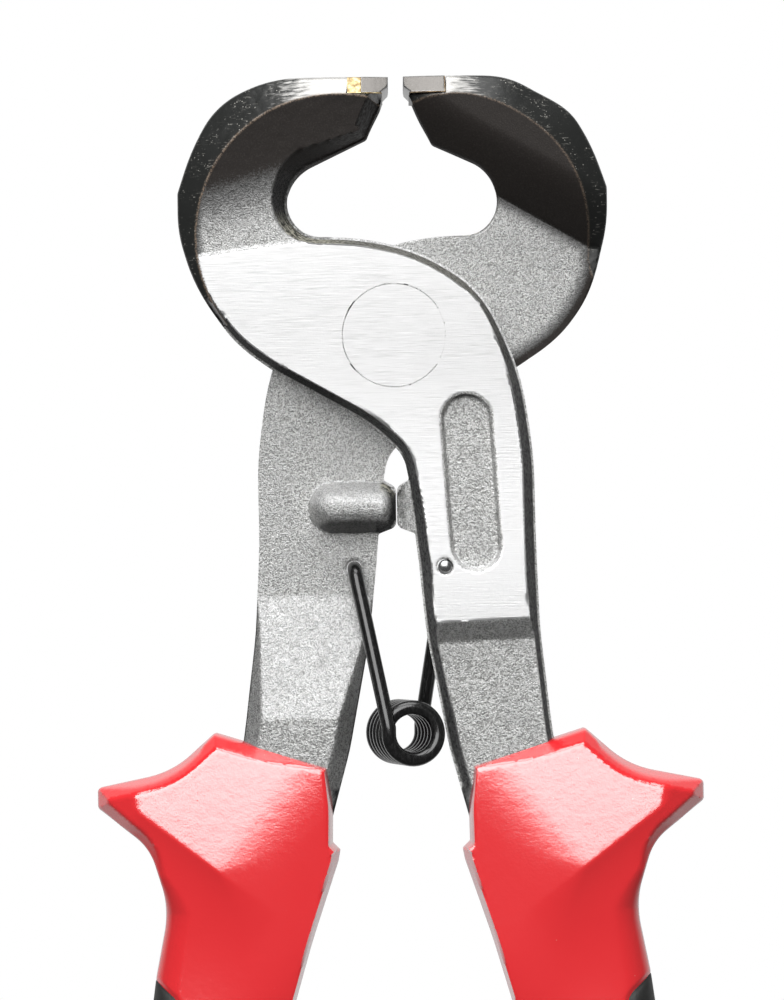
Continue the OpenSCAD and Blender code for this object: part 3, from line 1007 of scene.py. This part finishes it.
def forged_steel():
    """Sandblasted skin and brushed ground face, with painted shade on the jaw's outer band, the flanks,
    the side walls and down-facing skin, painted light on up-facing skin and walls and on the nose wall,
    and a polished zone by the tip that is partly a painted highlight.
    """
    p = Paint("forged_steel")
    fine = p.noise(0.24, 3.0)
    coarse = p.noise(0.6, 3.0)
    cloud = p.noise(5.0, 3.0)
    pits = p.math("ADD", p.times(fine, 0.7), p.times(coarse, 0.3))
    skin = p.tint(p.between(pits, 0.38, 0.6), (0.34, 0.34, 0.33), (0.84, 0.84, 0.83))
    skin = p.tint(p.between(cloud, 0.35, 0.75), skin, p.tint(0.35, skin, grey(0.54)))
    streak = p.noise(0.12, 2.0, (30, 1, 1))
    ground = brushed(p, streak)

    ground_edge = p.math("ADD", p.attribute("ground_edge"), p.ragged(coarse, 0.5))
    is_ground = p.between(ground_edge, -0.06, 0.1)
    # Painted shade: a ragged dark zone over the flanks, which face down, away from the light
    shade_noise = p.ragged(fine, 6.0)
    is_flank_shade = p.between(p.math("ADD", p.attribute("flank_shade_edge"), shade_noise), -1.0, 1.2)
    crest = p.attribute("crest_edge")
    from_tip = p.attribute("from_tip")
    rear = p.attribute("rear_side")
    is_band = p.between(crest, -0.08, 0.08)

    # Painted shade: the skin darkens gradually towards the shaded flanks
    shade_fade_edge = p.math("ADD", p.attribute("flank_shade_edge"), p.times(shade_noise, 0.5))
    skin = p.tint(p.times(p.between(shade_fade_edge, -8.5, 0.5), 0.8), skin, grey(0.03))
    # Painted light and shade: skin facing up is painted lighter, and skin facing steeply down is painted
    # nearly black
    upward = p.attribute("upward")
    painted_lit_skin = p.tint(p.between(pits, 0.38, 0.6), grey(0.62), grey(0.97))
    skin = p.tint(p.times(p.between(upward, 0.06, 0.26), 0.75), skin, painted_lit_skin)
    skin = p.tint(p.times(p.between(upward, -0.62, -0.85), 0.75), skin, grey(0.04))
    # Painted shade and light: the drafted side walls are painted near black, and those facing up are
    # painted olive grey as if lit from above
    is_wall = p.times(p.between(p.attribute("steep"), 0.3, 0.7), p.attribute("wall_zone"))
    wall = p.tint(p.between(pits, 0.4, 0.62), grey(0.012), grey(0.10))
    painted_lit_wall = p.tint(p.between(coarse, 0.4, 0.6), (0.06, 0.06, 0.05), (0.62, 0.6, 0.5))
    wall = p.tint(p.between(upward, 0.1, 0.8), wall, painted_lit_wall)
    base = p.tint(is_wall, skin, wall)
    base = p.tint(is_ground, base, ground)
    # Near-black colour of the painted shade on the flanks
    flank_shade = p.tint(p.between(fine, 0.45, 0.75), (0.030, 0.026, 0.024), (0.042, 0.037, 0.034))
    base = p.tint(is_flank_shade, base, flank_shade)
    # Painted light: a lighter grey patch on the front lever's nose wall, where it catches the light
    painted_lit_nose = p.times(p.between(from_tip, 11.0, 4.0), p.between(coarse, 0.3, 0.7))
    painted_lit_nose = p.times(painted_lit_nose, is_wall, p.math("SUBTRACT", 1.0, rear, True))
    base = p.tint(painted_lit_nose, base, grey(0.17))
    worn_part = p.between(p.noise(2.2, 3.0), 0.42, 0.62)
    specks = p.times(p.spots(0.55, 0.24), worn_part)
    scratches = p.times(p.between(p.noise(0.2, 3.0, (5, 5, 1)), 0.58, 0.7), worn_part, 0.3)
    # The outer band is painted near black as shade, since it faces sideways away from the light; the
    # specks and scratches on it are real wear
    band = p.tint(p.math("MAXIMUM", specks, scratches), (0.020, 0.021, 0.020), (0.62, 0.6, 0.55))
    base = p.tint(is_band, base, band)
    # Towards the tip the band turns light grey: partly real polish, partly a painted highlight where the
    # band faces up towards the light
    polish_start = p.math("ADD", 17.0, p.times(rear, -3.8))
    wander = p.ragged(p.noise(0.35, 4.0, (7, 1, 1)), 14.0)
    nearness = p.math("SUBTRACT", polish_start, p.math("ADD", from_tip, wander))
    polish_and_highlight = p.times(p.between(nearness, 0.0, 6.0), p.between(crest, -0.1, 0.2))
    polish_and_highlight = p.times(polish_and_highlight, p.between(from_tip, 6.4, 6.8))
    base = p.tint(polish_and_highlight, base, (0.56, 0.55, 0.53))
    # Painted highlight: a broken brownish line of light along the crest edge, inside the painted flank
    # shade
    line = p.times(p.between(p.math("ABSOLUTE", crest), 0.3, 0.0), p.between(fine, 0.35, 0.6))
    line = p.times(line, p.mix(rear, 0.7, 0.4), is_flank_shade)
    base = p.tint(line, base, (0.30, 0.22, 0.16))

    rough = p.mix(is_ground, 0.5, p.mix(streak, 0.3, 0.42))
    rough = p.mix(is_flank_shade, rough, 0.6)
    rough = p.mix(is_wall, rough, 0.75)
    rough = p.mix(is_band, rough, 0.34)
    rough = p.mix(polish_and_highlight, rough, 0.25)
    smooth = p.math("MAXIMUM", p.math("MAXIMUM", is_ground, is_band), p.times(is_flank_shade, 0.85))
    normal = p.bump(pits, 0.34, p.mix(smooth, 1.0, 0.02))
    normal = p.bump(streak, 0.012, p.mix(is_ground, 0.0, 1.0), normal)
    dark = p.math("MAXIMUM", is_flank_shade, p.times(is_wall, 0.9))
    dull = p.times(dark, p.math("SUBTRACT", 1.0, is_band, True))
    return p.done(base, rough, p.mix(dark, 0.9, 0.15), normal, Specular_IOR_Level=p.mix(dull, 0.5, 0.15))


def rivet_steel():
    """Ground flush with the lever's face, with the same brushed streaks."""
    p = Paint("rivet_steel")
    streak = p.noise(0.12, 2.0, (30, 1, 1))
    return p.done(brushed(p, streak), p.mix(streak, 0.3, 0.42), 0.9, p.bump(streak, 0.012))


def carbide():
    p = Paint("carbide")
    fine = p.noise(0.2, 3.0)
    edge = p.attribute("edge_distance")
    body = p.tint(fine, (0.12, 0.113, 0.105), (0.21, 0.2, 0.19))
    worn = p.between(p.math("ADD", edge, p.times(fine, 0.1)), 0.2, 0.06)
    grind = p.noise(0.1, 2.0, (1, 8, 1))
    return p.done(p.tint(worn, body, grey(0.5)), p.mix(fine, 0.28, 0.45), 0.85, p.bump(grind, 0.01))


def braze(name, dark, light):
    p = Paint(name)
    blotch = p.noise(0.9, 4.0)
    fine = p.noise(0.15, 2.0)
    gold = p.tint(p.between(blotch, 0.35, 0.6), dark, light)
    gold = p.tint(p.between(blotch, 0.52, 0.66), gold, p.tint(0.5, gold, (0.6, 0.57, 0.45)))
    return p.done(gold, p.mix(fine, 0.25, 0.5), 0.9, p.bump(blotch, 0.08))


def black_wire():
    p = Paint("black_wire")
    fine = p.noise(0.3, 3.0, (1, 1, 3))
    body = p.tint(p.between(fine, 0.4, 0.75), grey(0.008), grey(0.03))
    cut = p.attribute("cut_end")
    return p.done(p.tint(cut, body, grey(0.35)), p.mix(fine, 0.16, 0.3), p.mix(cut, 0.2, 0.9),
                  p.bump(fine, 0.01), Coat_Weight=0.6, Coat_Roughness=0.12)


def red_sleeve():
    p = Paint("red_sleeve")
    cloud = p.noise(14.0, 2.0)
    peel = p.noise(0.4, 3.0)
    fine = p.noise(0.12, 2.0)
    colour = p.tint(cloud, (0.98, 0.02, 0.028), (1.0, 0.026, 0.034))
    # Painted glints: sparse pink specks of reflected light on the red plastic
    colour = p.tint(p.times(p.spots(2.6, 0.05), 0.5), colour, (0.9, 0.45, 0.4))
    normal = p.bump(peel, 0.022, 0.8)
    normal = p.bump(fine, 0.004, 0.6, normal)
    return p.done(colour, p.mix(fine, 0.12, 0.22), 0.0, normal, Specular_IOR_Level=0.95, IOR=1.78,
                  Coat_Weight=0.3, Coat_Roughness=0.1)


def black_pad():
    p = Paint("black_pad")
    pebble = p.noise(0.5, 3.0)
    body = p.tint(pebble, (0.014, 0.015, 0.014), (0.035, 0.036, 0.034))
    return p.done(body, p.mix(pebble, 0.5, 0.7), 0.0, p.bump(pebble, 0.08, 0.8))


# ---- the object
steel = forged_steel()
forging = forging_mesh()
front_lever = placed("front_lever_forging", pushed(forging, FRONT_PUSHES), steel)
rear_lever = placed("rear_lever_forging", pushed(forging, REAR_PUSHES), steel, turned=True)

carbide_paint = carbide()
bright_braze = braze("bright_braze", (0.22, 0.15, 0.07), (0.56, 0.45, 0.24))
dull_braze = braze("dull_braze", (0.10, 0.07, 0.045), (0.30, 0.22, 0.14))
left_tip = placed("left_tip", carbide_mesh(*LEFT_TIP), carbide_paint)
right_tip = placed("right_tip", carbide_mesh(*RIGHT_TIP), carbide_paint, turned=True)
left_braze = placed("left_braze", braze_mesh(*LEFT_TIP, LEFT_SEAT_END), bright_braze)
right_braze = placed("right_braze", braze_mesh(*RIGHT_TIP, RIGHT_SEAT_END), dull_braze, turned=True)

grips = grip_meshes()
red = red_sleeve()
black = black_pad()
right_core = placed("right_grip_sleeve", grips["core"], red)
left_core = placed("left_grip_sleeve", grips["core"], red, turned=True)
right_pad = placed("right_grip_insert", grips["pad"], black)
left_pad = placed("left_grip_insert", grips["pad"], black, turned=True)

riders = [
    (front_lever, "front_lever", "front_lever", "forged_steel"),
    (rear_lever, "rear_lever", "rear_lever", "forged_steel"),
    (left_tip, "front_lever", "left_carbide_tip", "carbide"),
    (right_tip, "rear_lever", "right_carbide_tip", "carbide"),
    (left_braze, "front_lever", "left_braze_seam", "braze"),
    (right_braze, "rear_lever", "right_braze_seam", "braze"),
    (right_core, "front_lever", "right_grip_core", "red_sleeve"),
    (left_core, "rear_lever", "left_grip_core", "red_sleeve"),
    (right_pad, "front_lever", "right_grip_pad", "black_pad"),
    (left_pad, "rear_lever", "left_grip_pad", "black_pad"),
]
# The red grips cast no red glow, so that the steel right beside them stays neutral grey
for sleeve in (left_core, right_core):
    sleeve.visible_diffuse = False
    sleeve.visible_glossy = False
for piece, body, node, slot in riders:
    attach(piece, body)
    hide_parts(node)

wire_mesh, wire_shares = spring_mesh()
spring = placed("coil_spring", wire_mesh, black_wire())
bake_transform(spring)
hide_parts("return_spring")

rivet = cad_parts["pivot_rivet"]
rivet.data.materials.clear()
rivet.data.materials.append(rivet_steel())


# ---- stage, light and camera
def area_light(name, place, target, size, radiance):
    """Rectangular light that faces its target; radiance is what a mirror would show."""
    data = bpy.data.lights.new(name, "AREA")
    data.shape = "RECTANGLE"
    data.size, data.size_y = size
    data.energy = radiance * math.pi * size[0] * size[1]
    light = added(name, data)
    light.location = place
    light.rotation_euler = (Vector(target) - Vector(place)).to_track_quat("-Z", "Y").to_euler()


def white_world():
    """White behind the object for the camera; for light, pale behind the tool and dim elsewhere."""
    world = bpy.data.worlds.new("studio")
    bpy.context.scene.world = world
    world.use_nodes = True
    nodes, links = world.node_tree.nodes, world.node_tree.links
    background = nodes["Background"]
    path = nodes.new("ShaderNodeLightPath")
    coordinates = nodes.new("ShaderNodeTexCoord")
    parts = nodes.new("ShaderNodeSeparateXYZ")
    links.new(coordinates.outputs["Generated"], parts.inputs[0])
    behind = nodes.new("ShaderNodeMapRange")
    for name, value in (("From Min", 0.25), ("From Max", 0.75), ("To Min", 0.10), ("To Max", 0.75)):
        behind.inputs[name].default_value = value
    links.new(parts.outputs["Y"], behind.inputs["Value"])
    choice = nodes.new("ShaderNodeMix")
    links.new(path.outputs["Is Camera Ray"], choice.inputs[0])
    links.new(behind.outputs[0], choice.inputs[2])
    choice.inputs[3].default_value = 1.0
    background.inputs["Color"].default_value = (1, 1, 1, 1)
    links.new(choice.outputs[0], background.inputs["Strength"])


def floor():
    """Pale round floor that fades into the white surroundings."""
    lowest = cad_box[0][2]
    mesh = bpy.data.meshes.new("floor")
    rim = [(0.9 * math.cos(a), 0.9 * math.sin(a), lowest - 0.001) for a in np.arange(64) * math.pi / 32]
    mesh.from_pydata(rim, [], [tuple(range(64))])
    p = Paint("floor")
    radius = p.node("ShaderNodeVectorMath", {"operation": "LENGTH"})
    p.feed(radius.inputs[0], p.place)
    fade = p.mix(p.between(radius.outputs["Value"], 0.25, 0.8), 0.6, 1.0)
    p.done(grey(0.9), 0.6)
    glow = p.node("ShaderNodeEmission")
    glow.inputs["Color"].default_value = (1, 1, 1, 1)
    mix = p.node("ShaderNodeMixShader")
    p.feed(mix.inputs[0], fade)
    p.links.new(p.surface.outputs[0], mix.inputs[1])
    p.links.new(glow.outputs[0], mix.inputs[2])
    p.links.new(mix.outputs[0], p.nodes["Material Output"].inputs["Surface"])
    mesh.materials.append(p.material)
    thing = added("floor", mesh)
    thing.visible_diffuse = False
    thing.visible_glossy = False
    return thing


def camera():
    """Camera in front of the tool and a little below its jaws, aimed slightly upwards."""
    sensor_width = 36
    distance = 0.6
    picture_height = 0.146
    place = Vector((-0.0004, -0.606, -0.040))
    aim = Vector((-0.00065, -0.0065, -0.0241))
    data = bpy.data.cameras.new("camera")
    data.sensor_width = sensor_width
    data.lens = sensor_width * distance / picture_height
    thing = added("camera", data)
    look = (aim - place).to_track_quat("-Z", "Y").to_matrix().to_4x4()
    roll = Matrix.Rotation(math.radians(-0.85), 4, "Z")
    thing.matrix_world = Matrix.Translation(place) @ look @ roll
    bpy.context.scene.camera = thing


bpy.context.scene.view_settings.view_transform = "Standard"
white_world()
floor()
camera()
area_light("front_softbox", (-0.22, -1.15, 0.55), (0, 0, -0.03), (1.15, 0.95), 4.8)
area_light("top_softbox", (0, -0.3, 0.98), (0, 0, 0), (0.7, 0.8), 4.0)
